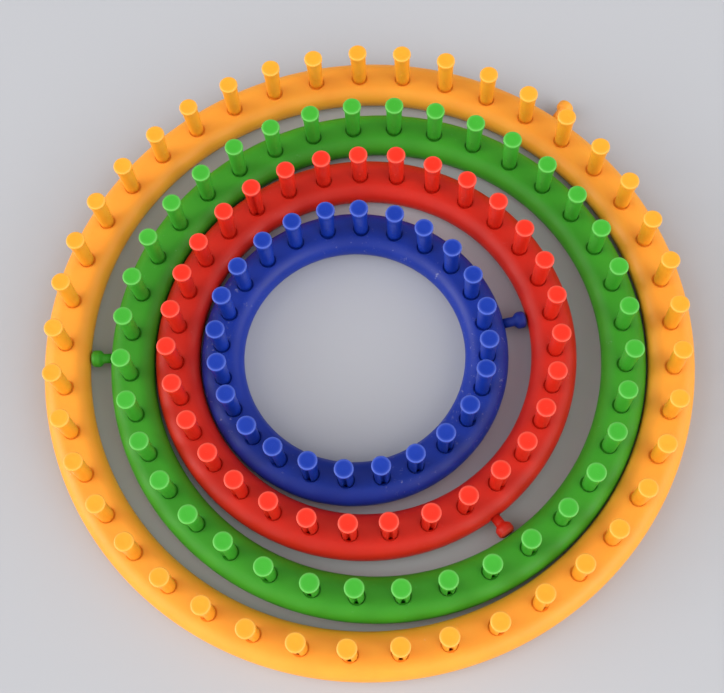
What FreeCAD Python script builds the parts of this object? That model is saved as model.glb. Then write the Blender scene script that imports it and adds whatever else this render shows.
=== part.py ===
import FreeCAD, Part
import os
import re
import Sketcher

# A set of four round knitting looms, nested on a table as they are stored.
# Each loom is a moulded ring with an open channel below, a circle of grooved
# knob-headed pegs pressed into seats in its top, and one anchor peg pressed
# into its outer wall. Millimetres; Z is up and the table is at Z = 0.
# The origin is the middle of the largest loom, on the table.

# Ring section. The sides are half circles, tangent to the flat top and cut off level below.
RING = {
    "set_diameter": 290.0,      # outer diameter of the largest ring
    "ring_height": 11.8,
    "foot_cut": 1.2,            # height of what is cut off the half circles
    "roof_thickness": 2.4,
    "rim_width": 1.3,           # what each wall stands on
    "channel_draft": 0.3,       # the channel is this much narrower at its roof, each side
}

# Peg seats: a tubular boss hangs in the channel under each peg. The well that the
# shaft stands in is not quite concentric with it, and shows mostly on the inward side.
SEAT = {
    "boss_diameter": 9.0,
    "boss_lift": 2.0,           # the bosses end this far above the table
    "seat_gap": 0.4,            # how much wider the well is than a shaft's root, each side
    "seat_shift": 0.2,          # the well's middle lies this far inward of the peg's
    "seat_depth": 1.0,
    "seat_edge": 0.35,          # chamfer round the mouth of the well
    "fit_clearance": 0.05,      # radial gap between a shank and its bore
}

# Pegs. The shaft is slimmest at its root and stands on the floor of the seat.
PEG = {
    "peg_stand": 22.4,          # top of the head above the ring
    "head_diameter": 8.3,
    "head_depth": 1.6,          # the upright side of the head and its bevel
    "bevel_width": 0.7,
    "bevel_depth": 0.5,
    "head_taper": 0.8,          # height of the cone under the head
    "neck_diameter": 7.3,
    "root_diameter": 6.4,
    "shank_step": 0.7,          # the shank is this much slimmer than the root, each side
    "groove_depth": 1.8,        # at the root
    "groove_mouth": 2.8,        # width at the root, where it opens
    "groove_floor": 0.6,        # width at its bottom
}

# Anchor pegs lie level, at the height where the ring is widest.
ANCHOR = {
    "anchor_gap": 0.5,          # between the head and the next loom out, along the peg
    "anchor_shaft": 5.0,
    "anchor_step": 0.6,         # the shank is this much slimmer than the shaft, each side
    "anchor_head": 7.6,
    "anchor_length": 4.3,       # of the head, bevel and all
    "anchor_bevel": 0.9,
    "anchor_cone": 1.2,
    "anchor_seat_gap": 0.35,    # radial gap between the shaft and the wall of its seat
    "anchor_sink": 0.6,         # depth of that seat at the ring's outer edge
}

# Looms, from the largest in. Angles are in degrees, anticlockwise from X:
# "first" is where the first peg stands, and "lean" the way that a loom lies off
# the middle of the one round it, with "gap" left between the two on that side.
# "anchor" counts peg spacings from the first peg to the anchor peg, and "reach" is
# how far the anchor peg stands out of the ring.
LOOMS = {
    "yellow": {"pegs": 41, "band": 20.6, "first": 85.5, "anchor": 36.5, "reach": 10.3},
    "green": {"pegs": 36, "band": 19.6, "first": 89.6, "anchor": 8.5, "reach": 9.0, "lean": 329.0, "gap": 0.4},
    "red": {"pegs": 31, "band": 20.0, "first": 85.5, "anchor": 18.5, "reach": 9.0, "lean": 163.0, "gap": 0.32},
    "blue": {"pegs": 24, "band": 19.2, "first": 81.0, "anchor": 19.0, "reach": 9.9, "lean": 194.0, "gap": 0.32},
}

PEGS_PER_GROUP = 3

# Heights and radii that several pieces share.
SHARED = {
    "shoulder_radius": "(ring_height + foot_cut) / 2",
    "centre_height": "ring_height - shoulder_radius",
    "foot_reach": "sqrt(shoulder_radius ^ 2 - centre_height ^ 2)",
    "channel_roof": "ring_height - roof_thickness",
    "seat_floor": "ring_height - seat_depth",
    "seat_radius": "root_diameter / 2 + seat_gap",
    "shank_radius": "root_diameter / 2 - shank_step",
    "groove_bottom": "root_diameter / 2 - groove_depth",
    "groove_slope": "(groove_mouth - groove_floor) / groove_depth / 2",
    "anchor_shank": "anchor_shaft / 2 - anchor_step",
    "peg_top": "ring_height + peg_stand",
    "head_base": "peg_top - head_depth",
    "neck_height": "head_base - head_taper",
}

doc = FreeCAD.newDocument("knitting_looms")
sizes = doc.addObject("Spreadsheet::Sheet", "sizes")
aliases = []


def fill_row(alias, content):
    aliases.append(alias)
    row = len(aliases)
    sizes.set(f"A{row}", alias)
    sizes.set(f"B{row}", content)
    sizes.setAlias(f"B{row}", alias)


def fill_sheet():
    """Driving sizes as plain numbers, then what is worked out from them."""
    for group in (RING, SEAT, PEG, ANCHOR):
        for alias, value in group.items():
            fill_row(alias, str(value))
    for loom, row in LOOMS.items():
        for name, value in row.items():
            fill_row(f"{loom}_{name}", str(value))
    for alias, formula in SHARED.items():
        fill_row(alias, "=" + formula)
    outside = None
    for loom in LOOMS:
        for name, formula in loom_place(loom, outside).items():
            fill_row(f"{loom}_{name}", "=" + formula)
        outside = loom
    doc.recompute()


def loom_place(loom, outside):
    """Formulas for a loom's radii and its middle.

    Its room, the difference between the two radii, lets the anchor peg in beside the loom outside it.
    """
    if outside is None:
        place = {"edge": "set_diameter / 2", "middle_x": "0", "middle_y": "0"}
    else:
        place = {
            "turn": f"{loom}_first + {loom}_anchor * 360 / {loom}_pegs",
            "side": f"cos({loom}_turn - {loom}_lean)",
            "room": f"({loom}_reach + anchor_gap - {loom}_gap * {loom}_side) / (1 - {loom}_side)",
            "edge": f"{outside}_inside - {loom}_room",
            "shift": f"{loom}_room - {loom}_gap",
            "middle_x": f"{outside}_middle_x + {loom}_shift * cos({loom}_lean)",
            "middle_y": f"{outside}_middle_y + {loom}_shift * sin({loom}_lean)",
        }
    place["circle"] = f"{loom}_edge - {loom}_band / 2"
    place["inside"] = f"{loom}_edge - {loom}_band"
    place["flat"] = f"{loom}_band / 2 - shoulder_radius"
    place["mouth"] = f"{loom}_flat + foot_reach - rim_width"
    return place


def sheet_names(expression):
    """The same expression, with each alias said to be the sheet's."""
    return re.sub(r"[a-z]\w*", lambda word: f"sizes.{word[0]}" if word[0] in aliases else word[0], expression)


def bind(item, path, expression):
    item.setExpression(path, sheet_names(expression))


def value_of(expression):
    return float(sizes.evalExpression(sheet_names(expression)))


def origin_item(body, role):
    return next(item for item in body.Origin.OriginFeatures if item.Role == role)


def new_body(name, loom, turn="0"):
    """A body at the loom's middle. Its X axis points to the first peg, or to `turn` degrees past it."""
    body = doc.addObject("PartDesign::Body", name)
    body.Label = name
    body.AllowCompound = True
    bind(body, "Placement.Base.x", f"{loom}_middle_x")
    bind(body, "Placement.Base.y", f"{loom}_middle_y")
    bind(body, "Placement.Rotation.Angle", f"{loom}_first + {turn}")
    return body


def new_sketch(body, name, plane, across="0", up="0", lift="0"):
    sketch = body.newObject("Sketcher::SketchObject", f"{body.Name}_{name}")
    sketch.AttachmentSupport = [(origin_item(body, plane), "")]
    sketch.MapMode = "FlatFace"
    bind(sketch, ".AttachmentOffset.Base.x", across)
    bind(sketch, ".AttachmentOffset.Base.y", up)
    bind(sketch, ".AttachmentOffset.Base.z", lift)
    return sketch


def turn_sketch(sketch, turn):
    """Turns an upright sketch about its own upright axis, `turn` degrees anticlockwise seen from above."""
    upright = FreeCAD.Vector(0, 1, 0)
    sketch.AttachmentOffset = FreeCAD.Placement(FreeCAD.Vector(), FreeCAD.Rotation(upright, value_of(turn)))
    bind(sketch, ".AttachmentOffset.Rotation.Angle", turn)


def tie(sketch, kind, *item, to):
    """A dimension of the sketch, bound to an expression."""
    row = sketch.addConstraint(Sketcher.Constraint(kind, *item, value_of(to)))
    bind(sketch, f"Constraints[{row}]", to)


def draw_outline(sketch, points, arcs=()):
    """A closed outline through points, each an (across, up) pair of expressions.

    Beside the number of a point, arcs gives the centre of the clockwise arc from it to the next.
    """
    arcs = dict(arcs)
    corners = [FreeCAD.Vector(value_of(across), value_of(up)) for across, up in points]
    for number, start in enumerate(corners):
        finish = corners[(number + 1) % len(corners)]
        if number in arcs:
            centre = FreeCAD.Vector(*map(value_of, arcs[number]))
            outward = (start + finish - centre * 2).normalize()
            sketch.addGeometry(Part.Arc(start, centre + outward * (start - centre).Length, finish))
        else:
            sketch.addGeometry(Part.LineSegment(start, finish))
    # A clockwise arc's first end is its second vertex, because the sketcher keeps arcs anticlockwise.
    first_ends = [(number, 2 if number in arcs else 1) for number in range(len(corners))]
    last_ends = [(number, 1 if number in arcs else 2) for number in range(len(corners))]
    for number, (across, up) in enumerate(points):
        sketch.addConstraint(Sketcher.Constraint("Coincident", *last_ends[number - 1], *first_ends[number]))
        tie(sketch, "DistanceX", *first_ends[number], to=across)
        tie(sketch, "DistanceY", *first_ends[number], to=up)
    for number, (across, up) in arcs.items():
        tie(sketch, "DistanceY", number, 3, to=up)


def draw_circle(sketch, radius):
    sketch.addGeometry(Part.Circle(FreeCAD.Vector(), FreeCAD.Vector(0, 0, 1), value_of(radius)))
    sketch.addConstraint(Sketcher.Constraint("Coincident", 0, 3, -1, 1))
    tie(sketch, "Radius", 0, to=radius)


def turned(kind, sketch, axis):
    """A full turn of a sketch, added to its body (Revolution) or cut away from it (Groove)."""
    body = sketch.getParentGeoFeatureGroup()
    feature = body.newObject(f"PartDesign::{kind}", f"{sketch.Name}_turned")
    feature.Profile = sketch
    feature.ReferenceAxis = axis
    feature.Angle = 360
    return feature


def repeat_round(body, originals, count, angle):
    """Copies about the loom's middle, `angle` from the first to the last, or 360 for all the way round."""
    pattern = body.newObject("PartDesign::PolarPattern", f"{body.Name}_round")
    pattern.Originals = originals
    pattern.Axis = (origin_item(body, "Z_Axis"), [""])
    bind(pattern, "Angle", angle)
    bind(pattern, "Occurrences", count)
    body.Tip = pattern


def ring_wall(body, loom):
    """Flat top, round sides and the channel open below. The seam lies between two pegs."""
    sketch = new_sketch(body, "section", "XZ_Plane")
    turn_sketch(sketch, f"180 / {loom}_pegs")
    circle, flat, mouth = f"{loom}_circle", f"{loom}_flat", f"{loom}_mouth"
    points = [
        (f"{circle} - {flat}", "ring_height"),
        (f"{circle} + {flat}", "ring_height"),
        (f"{circle} + {flat} + foot_reach", "0"),
        (f"{circle} + {mouth}", "0"),
        (f"{circle} + {mouth} - channel_draft", "channel_roof"),
        (f"{circle} - {mouth} + channel_draft", "channel_roof"),
        (f"{circle} - {mouth}", "0"),
        (f"{circle} - {flat} - foot_reach", "0"),
    ]
    arcs = {
        1: (f"{circle} + {flat}", "centre_height"),
        7: (f"{circle} - {flat}", "centre_height"),
    }
    draw_outline(sketch, points, arcs)
    turned("Revolution", sketch, (origin_item(body, "Z_Axis"), [""]))


def peg_boss(body, loom):
    """The boss under the first peg. It runs into the roof, so that the two are one."""
    sketch = new_sketch(body, "boss", "XY_Plane", across=f"{loom}_circle", lift="boss_lift")
    draw_circle(sketch, "boss_diameter / 2")
    boss = body.newObject("PartDesign::Pad", f"{body.Name}_boss_pad")
    boss.Profile = sketch
    bind(boss, "Length", "ring_height - roof_thickness / 2 - boss_lift")
    return boss


def peg_bore(body, loom):
    """The bore of the first peg, from below the boss up into its well."""
    sketch = new_sketch(body, "bore", "XZ_Plane", across=f"{loom}_circle")
    bore = "shank_radius + fit_clearance"
    draw_outline(sketch, [
        ("0", "0"),
        (bore, "0"),
        (bore, "ring_height - seat_edge"),
        ("0", "ring_height - seat_edge"),
    ])
    return turned("Groove", sketch, (sketch, ["V_Axis"]))


def peg_well(body, loom):
    """The well in the roof that the first peg's shaft stands in. Its chamfer runs on above the ring."""
    sketch = new_sketch(body, "well", "XZ_Plane", across=f"{loom}_circle - seat_shift")
    draw_outline(sketch, [
        ("0", "seat_floor"),
        ("seat_radius", "seat_floor"),
        ("seat_radius", "ring_height - seat_edge"),
        ("seat_radius + seat_edge * 2", "ring_height + seat_edge"),
        ("0", "ring_height + seat_edge"),
    ])
    return turned("Groove", sketch, (sketch, ["V_Axis"]))


def anchor_hole(body, loom):
    """A hole for the anchor peg right through the outer wall, with a flat seat for its shaft."""
    sketch = new_sketch(body, "anchor_hole", "XZ_Plane", up="centre_height")
    turn_sketch(sketch, f"{loom}_anchor * 360 / {loom}_pegs")
    bore, seat = "anchor_shank + fit_clearance", "anchor_shaft / 2 + anchor_seat_gap"
    inside, outside = f"{loom}_circle + {loom}_mouth - channel_draft * 2", f"{loom}_edge + anchor_sink"
    floor = f"{loom}_edge - anchor_sink"
    draw_outline(sketch, [
        (inside, "0"),
        (inside, bore),
        (floor, bore),
        (floor, seat),
        (outside, seat),
        (outside, "0"),
    ])
    return turned("Groove", sketch, (sketch, ["H_Axis"]))


def make_ring(loom):
    body = new_body(f"{loom}_ring", loom)
    ring_wall(body, loom)
    boss = peg_boss(body, loom)
    bore = peg_bore(body, loom)
    well = peg_well(body, loom)
    repeat_round(body, [boss, bore, well], f"{loom}_pegs", "360")
    body.Tip = anchor_hole(body, loom)
    return body


def peg_outline(sketch):
    """Half of a peg, from its own axis: shank, shaft widening upward, cone, head and bevelled rim."""
    draw_outline(sketch, [
        ("0", "boss_lift"),
        ("shank_radius", "boss_lift"),
        ("shank_radius", "seat_floor"),
        ("root_diameter / 2", "seat_floor"),
        ("neck_diameter / 2", "neck_height"),
        ("head_diameter / 2", "head_base"),
        ("head_diameter / 2", "peg_top - bevel_depth"),
        ("head_diameter / 2 - bevel_width", "peg_top"),
        ("0", "peg_top"),
    ])


def peg_groove(body, loom):
    """The yarn groove, widening outward, down the shaft and shank from the head to the peg's end."""
    sketch = new_sketch(body, "groove", "XY_Plane", across=f"{loom}_circle", lift="neck_height")
    outside = "neck_diameter"
    wide = f"groove_floor / 2 + ({outside} - groove_bottom) * groove_slope"
    draw_outline(sketch, [
        ("groove_bottom", "0 - groove_floor / 2"),
        (outside, f"0 - ({wide})"),
        (outside, wide),
        ("groove_bottom", "groove_floor / 2"),
    ])
    groove = body.newObject("PartDesign::Pocket", f"{body.Name}_groove_pocket")
    groove.Profile = sketch
    bind(groove, "Length", "neck_height")
    return groove


def make_peg_group(loom, first, count):
    """Neighbouring pegs, numbered anticlockwise from the loom's first."""
    name = f"{loom}_pegs_{first + 1:02d}_{first + count:02d}"
    body = new_body(name, loom, f"{first} * 360 / {loom}_pegs")
    sketch = new_sketch(body, "outline", "XZ_Plane", across=f"{loom}_circle")
    peg_outline(sketch)
    peg = turned("Revolution", sketch, (sketch, ["V_Axis"]))
    groove = peg_groove(body, loom)
    if count > 1:
        repeat_round(body, [peg, groove], str(count), f"{count - 1} * 360 / {loom}_pegs")
    return body


def make_anchor_peg(loom):
    """Half of the anchor peg is drawn above its level axis, from the channel out."""
    body = new_body(f"{loom}_anchor_peg", loom, f"{loom}_anchor * 360 / {loom}_pegs")
    sketch = new_sketch(body, "outline", "XZ_Plane", up="centre_height")
    tail, foot = f"{loom}_circle + {loom}_mouth", f"{loom}_edge - anchor_sink"
    tip = f"{loom}_edge + {loom}_reach"
    draw_outline(sketch, [
        (tail, "0"),
        (tail, "anchor_shank"),
        (foot, "anchor_shank"),
        (foot, "anchor_shaft / 2"),
        (f"{tip} - anchor_length - anchor_cone", "anchor_shaft / 2"),
        (f"{tip} - anchor_length", "anchor_head / 2"),
        (f"{tip} - anchor_bevel", "anchor_head / 2"),
        (tip, "anchor_head / 2 - anchor_bevel"),
        (tip, "0"),
    ])
    turned("Revolution", sketch, (sketch, ["H_Axis"]))
    return body


def make_loom(loom):
    pegs = LOOMS[loom]["pegs"]
    groups = [
        make_peg_group(loom, first, min(PEGS_PER_GROUP, pegs - first))
        for first in range(0, pegs, PEGS_PER_GROUP)
    ]
    return [make_ring(loom), make_anchor_peg(loom), *groups]


def check(pieces):
    doc.recompute()
    for item in doc.Objects:
        if "Invalid" in item.State or "Error" in item.State:
            raise RuntimeError(f"{item.Name} failed: {item.State}")
    for piece in pieces:
        if piece.Shape.isNull() or not piece.Shape.isValid():
            raise RuntimeError(f"{piece.Label} has no valid shape")
        if not piece.Shape.Solids:
            raise RuntimeError(f"{piece.Label} holds no solid")


def write(pieces):
    os.makedirs("parts", exist_ok=True)
    for piece in pieces:
        piece.Shape.exportStep(f"parts/{piece.Label}.step")
        solids = piece.Shape.Solids
        print(f"{piece.Label}: {len(solids)} solid(s), {sum(s.Volume for s in solids):.1f} mm3")


fill_sheet()
subparts = [piece for loom in LOOMS for piece in make_loom(loom)]
check(subparts)
write(subparts)
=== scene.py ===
import math
import random

import bmesh
import bpy
import numpy as np
from mathutils import Matrix, Vector


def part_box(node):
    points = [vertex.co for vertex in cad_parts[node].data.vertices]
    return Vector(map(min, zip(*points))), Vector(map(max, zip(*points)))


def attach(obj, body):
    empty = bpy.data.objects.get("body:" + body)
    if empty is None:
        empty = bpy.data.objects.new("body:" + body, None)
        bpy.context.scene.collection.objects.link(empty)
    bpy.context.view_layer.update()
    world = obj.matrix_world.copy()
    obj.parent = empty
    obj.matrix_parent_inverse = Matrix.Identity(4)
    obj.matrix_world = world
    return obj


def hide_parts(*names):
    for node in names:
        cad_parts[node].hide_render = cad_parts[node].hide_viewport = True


# Four round knitting looms, nested on a pale table. Meshes are worked out in
# millimetres, in each loom's own frame, and scaled to metres as they are placed.

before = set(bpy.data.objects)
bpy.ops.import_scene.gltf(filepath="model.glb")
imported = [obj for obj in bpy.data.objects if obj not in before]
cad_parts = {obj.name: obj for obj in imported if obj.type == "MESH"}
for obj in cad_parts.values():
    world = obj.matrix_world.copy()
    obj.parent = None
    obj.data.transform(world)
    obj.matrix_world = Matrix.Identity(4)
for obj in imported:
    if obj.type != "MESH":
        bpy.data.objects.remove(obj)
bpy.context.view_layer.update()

MM = 0.001

# Each loom's pegs, and the angle of the first, in degrees anticlockwise from X.
# "anchor" counts peg spacings from the first peg to the anchor peg, "reach" is how far
# the anchor peg stands out of the ring, and "seat" is the depth of the peg seats.
LOOMS = {
    "yellow": {"pegs": 41, "band": 20.6, "first": 85.5, "anchor": 36.5, "reach": 10.3, "seat": 0.35},
    "green": {"pegs": 36, "band": 19.6, "first": 89.6, "anchor": 8.5, "reach": 9.0, "seat": 0.6},
    "red": {"pegs": 31, "band": 20.0, "first": 85.5, "anchor": 18.5, "reach": 9.0, "seat": 0.5},
    "blue": {"pegs": 24, "band": 19.2, "first": 81.0, "anchor": 19.0, "reach": 9.9, "seat": 0.6},
}
PEGS_PER_GROUP = 3

# Chance leans and turns of the pegs, in degrees.
LEAN_SPREAD = 0.8
MOST_LEAN = 2
TURN_SPREAD = 2.5

# Pegs that the photograph shows out of line, in degrees: how far each is turned, and
# how far it leans along its row.
ODD_PEGS = {("red", 3): (140, 0), ("blue", 17): (0, -6)}

# Ring section, in millimetres.
RING_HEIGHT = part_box("yellow_ring")[1].z / MM
FOOT_CUT = 1.2
SIDE_RADIUS = (RING_HEIGHT + FOOT_CUT) / 2
SIDE_CENTRE = RING_HEIGHT - SIDE_RADIUS
FOOT_REACH = math.sqrt(SIDE_RADIUS ** 2 - SIDE_CENTRE ** 2)
CHANNEL_ROOF = RING_HEIGHT - 2.4
RIM_WIDTH = 1.3
CHANNEL_DRAFT = 0.3
SMALL_ROUND = 0.25

# Peg seats and bosses.
BOSS_RADIUS = 4.5
BOSS_LIFT = 2.0
SEAT_RADIUS = 3.6
SEAT_SHIFT = 0.2
SEAT_EDGE = 0.45
SEAT_CORNER = 0.05
LEAST_SEAT_WALL = 0.1
BORE_RADIUS = 2.55

# Pegs.
PEG_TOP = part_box("yellow_pegs_01_03")[1].z / MM
HEAD_RADIUS = 4.15
HEAD_BASE = PEG_TOP - 1.6
ROUND_WIDTH = 0.8
ROUND_DEPTH = 0.5
HEAD_SINK = ((2.6, 0.01), (1.6, 0.02), (1.1, 0.05), (0.6, 0.08))
NECK_RADIUS = 3.65
NECK_HEIGHT = HEAD_BASE - 0.8
ROOT_RADIUS = 3.2
SHANK_RADIUS = 2.5
GROOVE_BOTTOM = 1.4
GROOVE_FLOOR = 0.3
GROOVE_SLOPE = 0.611
GROOVE_CORNER = 0.2
GATE_HEIGHT = 20.5
GATE_RADIUS = 0.55
GATE_SINK = 0.08

# Anchor pegs.
ANCHOR_SINK = 0.6
ANCHOR_SHAFT = 2.2
ANCHOR_SHANK = 1.9
ANCHOR_CLEARANCE = 0.05
ANCHOR_HEAD = 3.8
ANCHOR_LENGTH = 4.3
ANCHOR_CONE = 1.2
ANCHOR_ROUND = 1.7
ANCHOR_SEAT = 2.85

# How finely the meshes are divided.
SIDE_STEPS = 12
GROOVE_ARC_STEPS = 36
ANCHOR_STEPS = 40


class Loom:
    """One loom's counts and the place of its ring, in millimetres and radians."""

    def __init__(self, name):
        row = LOOMS[name]
        low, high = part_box(f"{name}_ring")
        middle = (low + high) / (2 * MM)
        self.name = name
        self.body = f"{name}_loom"
        self.x, self.y = middle.x, middle.y
        self.pegs = row["pegs"]
        self.step = 2 * math.pi / self.pegs
        self.first = math.radians(row["first"])
        self.edge = (high.x - low.x) / (2 * MM)
        self.band = row["band"]
        self.reach = row["reach"]
        self.seat_floor = RING_HEIGHT - row["seat"]
        self.circle = self.edge - self.band / 2
        self.flat = self.band / 2 - SIDE_RADIUS
        self.mouth = self.flat + FOOT_REACH - RIM_WIDTH
        self.anchor = self.first + row["anchor"] * self.step

    def place(self, turn=0.0):
        """From the loom's own frame in millimetres, X towards the first peg, to the row frame in metres."""
        shift = Matrix.Translation((self.x * MM, self.y * MM, 0))
        return shift @ Matrix.Rotation(self.first + turn, 4, "Z") @ Matrix.Scale(MM, 4)


def new_piece(name, mesh, body, material):
    piece = bpy.data.objects.new(name, mesh)
    bpy.context.scene.collection.objects.link(piece)
    mesh.materials.append(material)
    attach(piece, body)
    return piece


def weld(points, faces, name, distance=1e-4, marks=None):
    """A smooth-shaded mesh of the points and faces, with doubled points joined and its faces turned outward."""
    mesh = bpy.data.meshes.new(name)
    mesh.from_pydata([tuple(p) for p in points], [], faces)
    # The marks say how much painted highlight each point's rounded edge gets.
    if marks is not None:
        layer = mesh.attributes.new("worn_edge", "FLOAT", "POINT")
        layer.data.foreach_set("value", np.asarray(marks, np.float32))
    shape = bmesh.new()
    shape.from_mesh(mesh)
    bmesh.ops.remove_doubles(shape, verts=shape.verts, dist=distance)
    bmesh.ops.recalc_face_normals(shape, faces=shape.faces)
    for face in shape.faces:
        face.smooth = True
    shape.to_mesh(mesh)
    shape.free()
    return mesh


def arc(centre, radius, start, finish, steps):
    """Points of an arc in the plane of a section. Angles are in degrees from the outward direction."""
    return [
        (centre[0] + radius * math.cos(math.radians(a)), centre[1] + radius * math.sin(math.radians(a)))
        for a in np.linspace(start, finish, steps + 1)
    ]


# Rings


def surface_height(loom, radius):
    """Height of a ring's upper surface at a distance from its middle."""
    past = np.maximum(np.abs(radius - loom.circle) - loom.flat, 0)
    return SIDE_CENTRE + np.sqrt(SIDE_RADIUS ** 2 - past ** 2)


def sector_edge(loom, half_width):
    """The outline in plan of one peg's share of a ring band, anticlockwise from its outer right corner."""
    turns = np.linspace(-loom.step / 2, loom.step / 2, SIDE_STEPS + 1)[:-1]
    radii = np.linspace(half_width, -half_width, SIDE_STEPS + 1)[:-1]
    outer, inner = loom.circle + half_width, loom.circle - half_width
    c, s = math.cos(loom.step / 2), math.sin(loom.step / 2)
    sides = [
        [(outer * math.cos(t), outer * math.sin(t)) for t in turns],
        [((loom.circle + u) * c, (loom.circle + u) * s) for u in radii],
        [(inner * math.cos(t), -inner * math.sin(t)) for t in turns],
        [((loom.circle - u) * c, -(loom.circle - u) * s) for u in radii],
    ]
    return np.array([point for side in sides for point in side])


def circle_towards(loom, edge, radius, shift=0.0):
    """Points on a circle round the peg's axis, or `shift` inward of it, each on the way to a point of the edge."""
    middle = (loom.circle - shift, 0)
    away = edge - middle
    return away / np.linalg.norm(away, axis=1)[:, None] * radius + middle


def level(plan, height):
    return np.column_stack([plan, np.broadcast_to(height, len(plan))])


def seat_levels(loom, top_half, roof_half):
    """Closed loops from the sector's upper edge in to the seat, down the bore, round the boss and out to the roof."""
    top, roof = sector_edge(loom, top_half), sector_edge(loom, roof_half)
    mouth = circle_towards(loom, top, SEAT_RADIUS + SEAT_EDGE, SEAT_SHIFT)
    loops, marks = [], []
    for share in (1.0, 0.78, 0.58, 0.4, 0.25, 0.12, 0.04, 0.0):
        plan = mouth + (top - mouth) * share
        loops.append(level(plan, surface_height(loom, np.linalg.norm(plan, axis=1))))
        marks.append(0.0)
    rim = loops[-1][:, 2]
    lip = min(SEAT_EDGE, RING_HEIGHT - loom.seat_floor - LEAST_SEAT_WALL)
    for turn in (22, 45, 68, 90):
        inset = SEAT_EDGE * math.sin(math.radians(turn))
        drop = lip * (1 - math.cos(math.radians(turn)))
        plan = circle_towards(loom, top, SEAT_RADIUS + SEAT_EDGE - inset, SEAT_SHIFT)
        loops.append(level(plan, rim - drop))
        # The seat's rounded lip is marked for a painted highlight.
        marks.append(1.0 if turn < 90 else 0.5)
    for corner in (0.0, SEAT_CORNER):
        plan = circle_towards(loom, top, SEAT_RADIUS - corner, SEAT_SHIFT)
        loops.append(level(plan, loom.seat_floor + SEAT_CORNER - corner))
        marks.append(0.0)
    bore = [
        (BORE_RADIUS, loom.seat_floor),
        (BORE_RADIUS, BOSS_LIFT + SMALL_ROUND),
        (BORE_RADIUS + SMALL_ROUND, BOSS_LIFT),
        (BOSS_RADIUS - SMALL_ROUND, BOSS_LIFT),
        (BOSS_RADIUS, BOSS_LIFT + SMALL_ROUND),
        (BOSS_RADIUS, CHANNEL_ROOF - SMALL_ROUND),
        (BOSS_RADIUS + SMALL_ROUND, CHANNEL_ROOF),
    ]
    for radius, height in bore:
        loops.append(level(circle_towards(loom, top, radius), height))
        marks.append(0.0)
    start = loops[-1][:, :2]
    for share in (0.5, 1.0):
        loops.append(level(start + (roof - start) * share, CHANNEL_ROOF))
        marks.append(0.0)
    return loops, marks


def side_section(loom, top_half, roof_half):
    """One side of the section, as (outward, height): round side, foot, channel wall and the roof's corner."""
    start = math.degrees(math.acos((top_half - loom.flat) / SIDE_RADIUS))
    finish = -math.degrees(math.asin(SIDE_CENTRE / SIDE_RADIUS))
    wall_top = loom.mouth - CHANNEL_DRAFT
    round_foot = arc((loom.flat, SIDE_CENTRE), SIDE_RADIUS, start, finish + 2.2, 15)
    return round_foot + [
        (loom.flat + FOOT_REACH - 0.12, 0.0),
        (loom.mouth + SMALL_ROUND, 0.0),
        (loom.mouth, SMALL_ROUND),
        ((loom.mouth + wall_top) / 2, CHANNEL_ROOF / 2),
        (wall_top, CHANNEL_ROOF - SMALL_ROUND),
        (roof_half, CHANNEL_ROOF),
    ]


def ring_mesh(loom):
    """A ring, made of one sector for each peg."""
    top_half = loom.flat + SIDE_RADIUS * math.cos(math.radians(48))
    roof_half = loom.mouth - CHANNEL_DRAFT - SMALL_ROUND
    points, marks, faces = [], [], []

    loops, loop_marks = seat_levels(loom, top_half, roof_half)
    count = len(loops[0])
    for number, loop in enumerate(loops):
        points.extend(loop)
        marks.extend([loop_marks[number]] * count)
        if number:
            below, above = number * count, (number - 1) * count
            for i in range(count):
                j = (i + 1) % count
                faces.append((above + i, above + j, below + j, below + i))

    turns = np.linspace(-loom.step / 2, loom.step / 2, SIDE_STEPS + 1)
    for side in (1, -1):
        section = side_section(loom, top_half, roof_half)
        for number, (outward, height) in enumerate(section):
            base = len(points)
            radius = loom.circle + side * outward
            points.extend((radius * math.cos(t), radius * math.sin(t), height) for t in turns)
            marks.extend([0.0] * len(turns))
            if number:
                above = base - len(turns)
                for i in range(SIDE_STEPS):
                    faces.append((above + i, above + i + 1, base + i + 1, base + i))

    sector = np.array(points)
    all_points, all_faces = [], []
    for peg in range(loom.pegs):
        c, s = math.cos(peg * loom.step), math.sin(peg * loom.step)
        turned = sector @ np.array([[c, s, 0], [-s, c, 0], [0, 0, 1]])
        base = peg * len(sector)
        all_points.append(turned)
        all_faces.extend(tuple(base + i for i in face) for face in faces)
    return weld(np.concatenate(all_points), all_faces, f"{loom.name}_ring_mesh", marks=marks * loom.pegs)


def round_cutter(radius, start, finish):
    """A closed cylinder along X."""
    cutter = bmesh.new()
    bmesh.ops.create_cone(
        cutter, cap_ends=True, segments=48, radius1=radius, radius2=radius, depth=finish - start,
        matrix=Matrix.Translation(((start + finish) / 2, 0, SIDE_CENTRE)) @ Matrix.Rotation(math.pi / 2, 4, "Y"))
    mesh = bpy.data.meshes.new("cutter")
    cutter.to_mesh(mesh)
    cutter.free()
    return bpy.data.objects.new("cutter", mesh)


def cut_anchor_seat(loom, piece):
    """The anchor peg's hole through the outer wall, and the flat that its shaft stands on."""
    wall = loom.circle + loom.mouth
    seat = (ANCHOR_SEAT, loom.edge - ANCHOR_SINK)
    hole = (ANCHOR_SHANK + ANCHOR_CLEARANCE, wall - 2 * CHANNEL_DRAFT)
    for radius, start in (seat, hole):
        cutter = round_cutter(radius, start, loom.edge + 1)
        bpy.context.scene.collection.objects.link(cutter)
        cutter.matrix_world = loom.place(loom.anchor - loom.first)
        cut = piece.modifiers.new("anchor_hole", "BOOLEAN")
        cut.operation = "DIFFERENCE"
        cut.object = cutter
        cut.solver = "EXACT"
        bpy.context.view_layer.objects.active = piece
        bpy.ops.object.modifier_apply(modifier=cut.name)
        bpy.data.objects.remove(cutter)


def make_ring(loom, material):
    mesh = ring_mesh(loom)
    mesh.transform(loom.place())
    piece = new_piece(f"{loom.name}_ring_moulding", mesh, loom.body, material)
    cut_anchor_seat(loom, piece)
    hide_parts(f"{loom.name}_ring")


# Pegs


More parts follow.
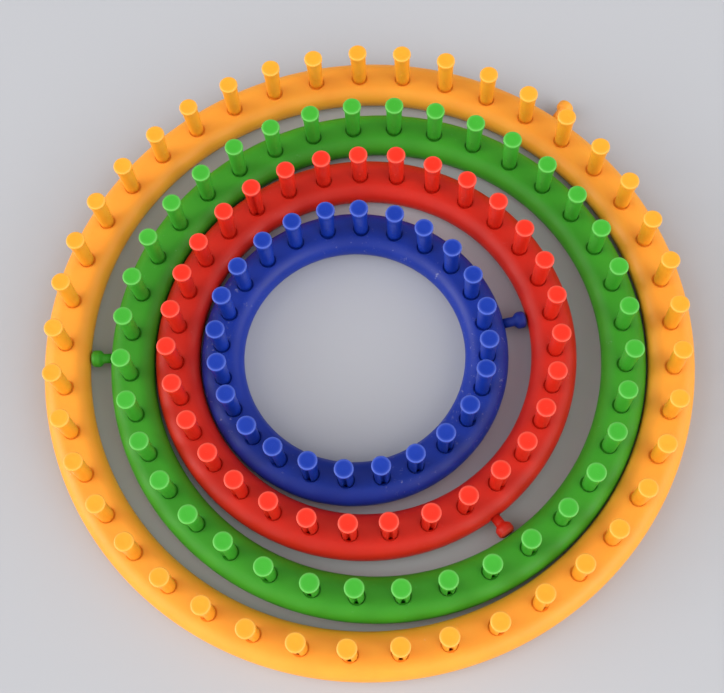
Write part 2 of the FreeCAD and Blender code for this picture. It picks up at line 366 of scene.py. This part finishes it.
def groove_mouth(radius):
    """Where a side of the groove, half-width GROOVE_FLOOR at GROOVE_BOTTOM, meets a circle: (along X, half-width)."""
    start = GROOVE_FLOOR - GROOVE_BOTTOM * GROOVE_SLOPE
    square = 1 + GROOVE_SLOPE ** 2
    root = math.sqrt((start * GROOVE_SLOPE) ** 2 - square * (start ** 2 - radius ** 2))
    along = (root - start * GROOVE_SLOPE) / square
    return along, start + along * GROOVE_SLOPE


def peg_loop(radius, height, grooved):
    """One level of a peg, anticlockwise: the round side, then six points across the groove on the side of X."""
    along, half = groove_mouth(radius)
    spread = math.atan2(half, along) + GROOVE_CORNER / radius
    turns = np.linspace(spread, 2 * math.pi - spread, GROOVE_ARC_STEPS + 1)
    loop = [(radius * math.cos(t), radius * math.sin(t)) for t in turns]
    if grooved:
        lip = (along - GROOVE_CORNER, half - GROOVE_CORNER * GROOVE_SLOPE)
        side = (GROOVE_BOTTOM + GROOVE_CORNER, GROOVE_FLOOR + GROOVE_CORNER * GROOVE_SLOPE)
        floor = (GROOVE_BOTTOM, GROOVE_FLOOR - GROOVE_CORNER / 2)
        right = [lip, side, floor]
        across = [(x, -y) for x, y in right] + right[::-1]
    else:
        between = np.linspace(-spread, spread, 8)[1:-1]
        across = [(radius * math.cos(t), radius * math.sin(t)) for t in between]
    return [(x, y, height) for x, y in loop + across]


def peg_mesh_data(seat_floor):
    """Points, faces and painted rim highlight marks of one peg, its axis on Z and its groove towards X."""
    levels = [
        (SHANK_RADIUS - SMALL_ROUND, BOSS_LIFT, True, 0),
        (SHANK_RADIUS, BOSS_LIFT + SMALL_ROUND, True, 0),
        (SHANK_RADIUS, seat_floor - 0.02, True, 0),
        (ROOT_RADIUS, seat_floor + 0.02, True, 0),
    ]
    for share in (0.15, 0.3, 0.45, 0.6, 0.75, 0.88, 1.0):
        radius = ROOT_RADIUS + (NECK_RADIUS - ROOT_RADIUS) * share
        levels.append((radius, seat_floor + (NECK_HEIGHT - seat_floor) * share, True, 0))
    levels += [
        (NECK_RADIUS + 0.1, NECK_HEIGHT + 0.22, False, 0),
        (HEAD_RADIUS - 0.16, HEAD_BASE - 0.06, False, 0),
        # The head's side and its rounded rim are marked for a painted highlight.
        (HEAD_RADIUS - 0.04, HEAD_BASE + 0.05, False, 0.3),
        (HEAD_RADIUS, HEAD_BASE + 0.18, False, 0.3),
    ]
    for (across, up), mark in zip(arc((0, 0), 1, 0, 90, 6), (0.4, 0.7, 1, 1, 1, 0.8, 0.3)):
        radius = HEAD_RADIUS - ROUND_WIDTH * (1 - across)
        levels.append((radius, PEG_TOP - ROUND_DEPTH * (1 - up), False, mark))
    levels += [(radius, PEG_TOP - sunk, False, 0) for radius, sunk in HEAD_SINK]
    loops = [peg_loop(radius, height, grooved) for radius, height, grooved, _ in levels]
    count = len(loops[0])
    points = [point for loop in loops for point in loop]
    marks = [mark for _, _, _, mark in levels for _ in range(count)]
    faces = [tuple(reversed(range(count)))]
    for number in range(len(loops) - 1):
        for i in range(count):
            j = (i + 1) % count
            faces.append((number * count + i, number * count + j, (number + 1) * count + j, (number + 1) * count + i))
    faces.append(tuple((len(loops) - 1) * count + i for i in range(count)))
    return points, faces, marks


def peg_shape(seat_floor):
    """One peg with the gate mark on the inward side of its shaft."""
    points, faces, marks = peg_mesh_data(seat_floor)
    mesh = weld(points, faces, "peg_mesh", marks=marks)
    shape = bmesh.new()
    shape.from_mesh(mesh)
    gate = Matrix.Translation((-(ROOT_RADIUS + NECK_RADIUS) / 2 + GATE_SINK, 0, GATE_HEIGHT))
    bmesh.ops.create_uvsphere(
        shape, u_segments=14, v_segments=8, radius=GATE_RADIUS, matrix=gate @ Matrix.Diagonal((0.5, 1, 1, 1)))
    for face in shape.faces:
        face.smooth = True
    shape.to_mesh(mesh)
    shape.free()
    return mesh


def settle(mesh):
    """Sinks a leaning peg until no edge of its head stands above the CAD pegs."""
    highest = max(point.co.z for point in mesh.vertices)
    mesh.transform(Matrix.Translation((0, 0, min(0, PEG_TOP - 0.01 - highest))))


def make_pegs(loom, material, chance):
    """The pegs of a loom, in the groups of the CAD nodes. Each stands a little off true, as pressed-in pegs do."""
    peg = peg_shape(loom.seat_floor)
    for first in range(0, loom.pegs, PEGS_PER_GROUP):
        last = min(first + PEGS_PER_GROUP, loom.pegs)
        group = bmesh.new()
        for number in range(first, last):
            turned_by, leaning = ODD_PEGS.get((loom.name, number), (0, 0))
            leans = [max(-MOST_LEAN, min(MOST_LEAN, chance.gauss(0, LEAN_SPREAD))) for _ in range(2)]
            sideways, outward = math.radians(leans[0]) + math.radians(leaning), math.radians(leans[1])
            lean = Matrix.Rotation(sideways, 4, "X") @ Matrix.Rotation(outward, 4, "Y")
            twist = Matrix.Rotation(math.radians(chance.gauss(turned_by, TURN_SPREAD)), 4, "Z")
            foot = Matrix.Translation((0, 0, loom.seat_floor))
            turned = peg.copy()
            turned.transform(foot @ lean @ twist @ foot.inverted())
            settle(turned)
            turned.transform(loom.place(number * loom.step) @ Matrix.Translation((loom.circle, 0, 0)))
            group.from_mesh(turned)
            bpy.data.meshes.remove(turned)
        mesh = bpy.data.meshes.new(f"{loom.name}_pegs_mesh")
        group.to_mesh(mesh)
        group.free()
        node = f"{loom.name}_pegs_{first + 1:02d}_{last:02d}"
        piece = new_piece(f"{node}_moulding", mesh, loom.body, material)
        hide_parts(node)
    bpy.data.meshes.remove(peg)


def make_anchor(loom, material):
    """An anchor peg, turned about its own level axis."""
    tip = loom.edge + loom.reach
    neck = tip - ANCHOR_LENGTH
    foot = loom.edge - ANCHOR_SINK
    section = [
        (loom.circle + loom.mouth, ANCHOR_SHANK),
        (foot, ANCHOR_SHANK),
        (foot, ANCHOR_SHAFT),
        (neck - ANCHOR_CONE - 0.15, ANCHOR_SHAFT),
        (neck - ANCHOR_CONE + 0.15, ANCHOR_SHAFT + 0.12),
        (neck - 0.25, ANCHOR_HEAD - 0.65),
        (neck + 0.1, ANCHOR_HEAD - 0.3),
        (neck + 0.6, ANCHOR_HEAD - 0.06),
        (neck + 1.1, ANCHOR_HEAD),
    ]
    head_edge = arc((ANCHOR_HEAD - ANCHOR_ROUND, 0), ANCHOR_ROUND, 0, 90, 7)
    section += [(tip - ANCHOR_ROUND + along, radius) for radius, along in head_edge]
    section += [(tip - 0.01, ANCHOR_HEAD * 0.45), (tip - 0.02, ANCHOR_HEAD * 0.2)]
    points, marks, faces = [], [], []
    for along, radius in section:
        # The rounding at the head's end is marked for a painted highlight.
        marks.extend([0.6 if tip - ANCHOR_ROUND < along < tip - 0.05 else 0.0] * ANCHOR_STEPS)
        for i in range(ANCHOR_STEPS):
            turn = 2 * math.pi * i / ANCHOR_STEPS
            points.append((along, radius * math.cos(turn), SIDE_CENTRE + radius * math.sin(turn)))
    for number in range(len(section) - 1):
        for i in range(ANCHOR_STEPS):
            j = (i + 1) % ANCHOR_STEPS
            low, high = number * ANCHOR_STEPS, (number + 1) * ANCHOR_STEPS
            faces.append((low + i, low + j, high + j, high + i))
    faces.append(tuple(range(ANCHOR_STEPS)))
    faces.append(tuple((len(section) - 1) * ANCHOR_STEPS + i for i in range(ANCHOR_STEPS)))
    mesh = weld(points, faces, f"{loom.name}_anchor_mesh", marks=marks)
    mesh.transform(loom.place(loom.anchor - loom.first))
    piece = new_piece(f"{loom.name}_anchor_peg_moulding", mesh, loom.body, material)
    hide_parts(f"{loom.name}_anchor_peg")


# Materials


def plug(tree, socket, value):
    """Gives a socket its value, which may be another node's output."""
    if isinstance(value, bpy.types.NodeSocket):
        tree.links.new(value, socket)
    else:
        socket.default_value = value


def math_node(tree, operation, *values):
    node = tree.nodes.new("ShaderNodeMath")
    node.operation = operation
    for socket, value in zip(node.inputs, values):
        plug(tree, socket, value)
    return node.outputs[0]


class Nodes:
    """Short ways to add and join the nodes of one material."""

    def __init__(self, name):
        self.material = bpy.data.materials.new(name)
        self.material.use_nodes = True
        self.tree = self.material.node_tree
        self.shader = self.tree.nodes["Principled BSDF"]

    def add(self, kind, **inputs):
        node = self.tree.nodes.new(kind)
        for name, value in inputs.items():
            plug(self.tree, node.inputs[name.replace("_", " ")], value)
        return node

    def noise(self, scale, detail=2.0, roughness=0.5):
        where = self.add("ShaderNodeTexCoord").outputs["Object"]
        noise = self.add("ShaderNodeTexNoise", Vector=where, Scale=scale, Detail=detail, Roughness=roughness)
        return noise.outputs["Fac"]

    def remap(self, value, low, high, to_low, to_high):
        node = self.add("ShaderNodeMapRange", Value=value)
        for name, number in zip(("From Min", "From Max", "To Min", "To Max"), (low, high, to_low, to_high)):
            node.inputs[name].default_value = number
        return node.outputs["Result"]

    def mix(self, share, first, second):
        node = self.tree.nodes.new("ShaderNodeMix")
        node.data_type = "RGBA"
        for place, value in ((0, share), (6, first), (7, second)):
            plug(self.tree, node.inputs[place], value)
        return node.outputs[2]

    def times(self, first, second):
        return math_node(self.tree, "MULTIPLY", first, second)

    def link(self, source, name):
        self.tree.links.new(source, self.shader.inputs[name])


# The plastics: two shades of the body, the paler shade of the highlight painted on rounded
# edges, the roughness, and the share of scuffs.
RING_PLASTIC = {
    "yellow": ((0.98, 0.375, 0.035), (0.99, 0.41, 0.04), (1.0, 0.55, 0.1), 0.46, 0.5),
    "green": ((0.042, 0.35, 0.016), (0.051, 0.385, 0.019), (0.18, 0.55, 0.15), 0.5, 0.5),
    "red": ((0.665, 0.019, 0.0075), (0.735, 0.0235, 0.009), (0.9, 0.14, 0.09), 0.46, 0.5),
    "blue": ((0.0045, 0.029, 0.315), (0.0055, 0.034, 0.355), (0.09, 0.15, 0.6), 0.44, 0.8),
}
PEG_PLASTIC = {
    "yellow": ((0.97, 0.39, 0.0245), (0.98, 0.417, 0.027), (1.0, 0.6, 0.16), 0.36, 0.3),
    "green": ((0.050, 0.42, 0.03), (0.056, 0.455, 0.034), (0.28, 0.75, 0.22), 0.34, 0.3),
    "red": ((0.82, 0.027, 0.0095), (0.87, 0.031, 0.012), (1.0, 0.24, 0.17), 0.34, 0.3),
    "blue": ((0.0046, 0.036, 0.37), (0.006, 0.041, 0.405), (0.2, 0.31, 0.95), 0.32, 0.3),
}
# How far red, green and blue light spreads inside each plastic, in millimetres.
BLEED = {
    "yellow": (1.6, 0.9, 0.4),
    "green": (0.4, 1.1, 0.4),
    "red": (1.5, 0.4, 0.4),
    "blue": (0.3, 0.5, 1.1),
}
SCUFF_COLOUR = (0.85, 0.86, 0.9, 1)
PLASTIC_IOR = 1.42
BLEED_SHARE = 0.15


def plastic(name, bleed, deep, bright, edge, roughness, scuffs):
    """Moulded plastic: flow marks between two shades, a paler painted highlight on rounded edges, a fine grain and a
    few scuffs.
    """
    nodes = Nodes(name)
    flow = nodes.remap(nodes.noise(55.0, 3.0), 0.35, 0.65, 0.0, 1.0)
    rim_highlight = nodes.add("ShaderNodeAttribute")
    rim_highlight.attribute_name = "worn_edge"
    body = nodes.mix(flow, (*deep, 1), (*bright, 1))
    # The marked rounded edges are mixed towards the paler edge shade: a painted highlight.
    with_edge_highlight = nodes.mix(nodes.times(rim_highlight.outputs["Fac"], 0.32), body, (*edge, 1))
    rare = 0.1 * (1 - scuffs)
    scuff = nodes.remap(nodes.noise(420.0, 6.0, 0.7), 0.59 + rare, 0.68 + rare, 0.0, 0.35 * scuffs)
    patch = nodes.remap(nodes.noise(30.0), 0.46 + rare, 0.6 + rare, 0.0, 1.0)
    marked = nodes.times(scuff, patch)
    nodes.link(nodes.mix(marked, with_edge_highlight, SCUFF_COLOUR), "Base Color")
    nodes.link(nodes.remap(nodes.noise(160.0, 4.0), 0.3, 0.7, roughness - 0.04, roughness + 0.05), "Roughness")
    wave = nodes.add("ShaderNodeBump", Height=nodes.noise(90.0, 2.0), Strength=0.1, Distance=0.0005)
    grain = nodes.add("ShaderNodeBump", Height=nodes.noise(2600.0, 2.0), Strength=0.05, Distance=0.00003)
    nodes.tree.links.new(wave.outputs["Normal"], grain.inputs["Normal"])
    nodes.link(grain.outputs["Normal"], "Normal")
    nodes.shader.inputs["IOR"].default_value = PLASTIC_IOR
    nodes.shader.inputs["Subsurface Weight"].default_value = BLEED_SHARE
    nodes.shader.inputs["Subsurface Radius"].default_value = [MM * length for length in bleed]
    nodes.shader.inputs["Subsurface Scale"].default_value = 1.0
    return nodes.material


# Stage

FLOOR_WIDTH = 6.0
FLOOR_SHADES = (0.474, 0.500, 0.546, 1), (0.492, 0.519, 0.565, 1)

# The photograph's camera: its place in millimetres, how far it looks up from straight
# down and how far it is rolled, in radians, and its focal length and image width in pixels.
CAMERA_PLACE = (-2.15, -189.43, 550.57)
CAMERA_PITCH = 0.3368
CAMERA_ROLL = -0.1089
FOCAL_PIXELS = 1288.7
IMAGE_WIDTH = 724
SENSOR_WIDTH = 36.0

# The light of the tent's walls: soft lobes, as (azimuth, elevation, strength), over an
# even part. The camera sees a plain backdrop instead, and gloss shows no part of the
# walls brighter than BRIGHTEST_GLOSS.
TENT_COLOUR = (1.04, 1.0, 0.97)
BACKDROP = 0.72
BRIGHTEST_GLOSS = 1.1
EVEN_LIGHT = 0.22
LOBE_POWER = 16
LIGHT_LOBES = (
    (0, 10, 0.85),
    (45, 10, 0.3),
    (135, 10, 0.2),
    (180, 10, 2.5),
    (225, 10, 1.55),
    (270, 10, 0.42),
    (315, 10, 0.8),
    (0, 32, 2.0),
    (135, 32, 0.1),
    (180, 32, 5.4),
    (225, 32, 1.05),
    (315, 32, 4.4),
    (135, 60, 0.15),
    (315, 60, 0.3),
    (0, 90, 0.3),
)


def make_floor():
    """A pale sheet, far wider than the camera sees."""
    half = FLOOR_WIDTH / 2
    corners = [(-half, -half, 0), (half, -half, 0), (half, half, 0), (-half, half, 0)]
    mesh = bpy.data.meshes.new("floor_mesh")
    mesh.from_pydata(corners, [], [(0, 1, 2, 3)])
    floor = bpy.data.objects.new("floor", mesh)
    bpy.context.scene.collection.objects.link(floor)
    nodes = Nodes("floor_sheet")
    cloud = nodes.remap(nodes.noise(1.4, 2.0), 0.3, 0.7, 0.0, 1.0)
    nodes.link(nodes.mix(cloud, *FLOOR_SHADES), "Base Color")
    nodes.shader.inputs["Roughness"].default_value = 0.8
    nodes.shader.inputs["Specular IOR Level"].default_value = 0.25
    mesh.materials.append(nodes.material)


def make_camera():
    """The photograph's viewpoint: above the front of the set, looking down and slightly away."""
    place = Vector(CAMERA_PLACE) * MM
    forward = Vector((0, math.sin(CAMERA_PITCH), -math.cos(CAMERA_PITCH)))
    right = Vector((1, 0, 0))
    up = right.cross(forward)
    across = math.cos(CAMERA_ROLL) * right + math.sin(CAMERA_ROLL) * up
    upward = -math.sin(CAMERA_ROLL) * right + math.cos(CAMERA_ROLL) * up
    camera = bpy.data.objects.new("camera", bpy.data.cameras.new("camera"))
    camera.data.sensor_width = SENSOR_WIDTH
    camera.data.lens = SENSOR_WIDTH * FOCAL_PIXELS / IMAGE_WIDTH
    camera.data.clip_start = 0.01
    turned = Matrix((across, upward, -forward)).transposed().to_4x4()
    camera.matrix_world = Matrix.Translation(place) @ turned
    bpy.context.scene.collection.objects.link(camera)
    bpy.context.scene.camera = camera


def light_scene():
    """A light tent: bright walls on the left, the right and in front, and little from behind."""
    world = bpy.data.worlds.new("tent")
    world.use_nodes = True
    tree = world.node_tree
    way = tree.nodes.new("ShaderNodeTexCoord").outputs["Generated"]
    strength = EVEN_LIGHT
    for azimuth, elevation, share in LIGHT_LOBES:
        turn = Matrix.Rotation(math.radians(azimuth), 3, "Z") @ Matrix.Rotation(math.radians(-elevation), 3, "Y")
        towards = tree.nodes.new("ShaderNodeVectorMath")
        towards.operation = "DOT_PRODUCT"
        tree.links.new(way, towards.inputs[0])
        towards.inputs[1].default_value = turn @ Vector((1, 0, 0))
        facing = math_node(tree, "MAXIMUM", towards.outputs["Value"], 0)
        strength = math_node(tree, "MULTIPLY_ADD", math_node(tree, "POWER", facing, LOBE_POWER), share, strength)
    parts = tree.nodes.new("ShaderNodeSeparateXYZ")
    tree.links.new(way, parts.inputs[0])
    above_floor = math_node(tree, "GREATER_THAN", parts.outputs["Z"], 0)
    lit = math_node(tree, "MULTIPLY", strength, above_floor)
    ray = tree.nodes.new("ShaderNodeLightPath").outputs
    gloss_change = math_node(tree, "SUBTRACT", math_node(tree, "MINIMUM", lit, BRIGHTEST_GLOSS), lit)
    seen = math_node(tree, "MULTIPLY_ADD", ray["Is Glossy Ray"], gloss_change, lit)
    camera_change = math_node(tree, "SUBTRACT", BACKDROP, seen)
    seen = math_node(tree, "MULTIPLY_ADD", ray["Is Camera Ray"], camera_change, seen)
    background = tree.nodes["Background"]
    background.inputs["Color"].default_value = (*TENT_COLOUR, 1)
    tree.links.new(seen, background.inputs["Strength"])
    bpy.context.scene.world = world


chance = random.Random(7)
for name in LOOMS:
    loom = Loom(name)
    ring_plastic = plastic(f"{name}_ring_plastic", BLEED[name], *RING_PLASTIC[name])
    peg_plastic = plastic(f"{name}_peg_plastic", BLEED[name], *PEG_PLASTIC[name])
    make_ring(loom, ring_plastic)
    make_pegs(loom, peg_plastic, chance)
    make_anchor(loom, ring_plastic)

make_floor()
make_camera()
light_scene()
bpy.context.scene.view_settings.view_transform = "Standard"
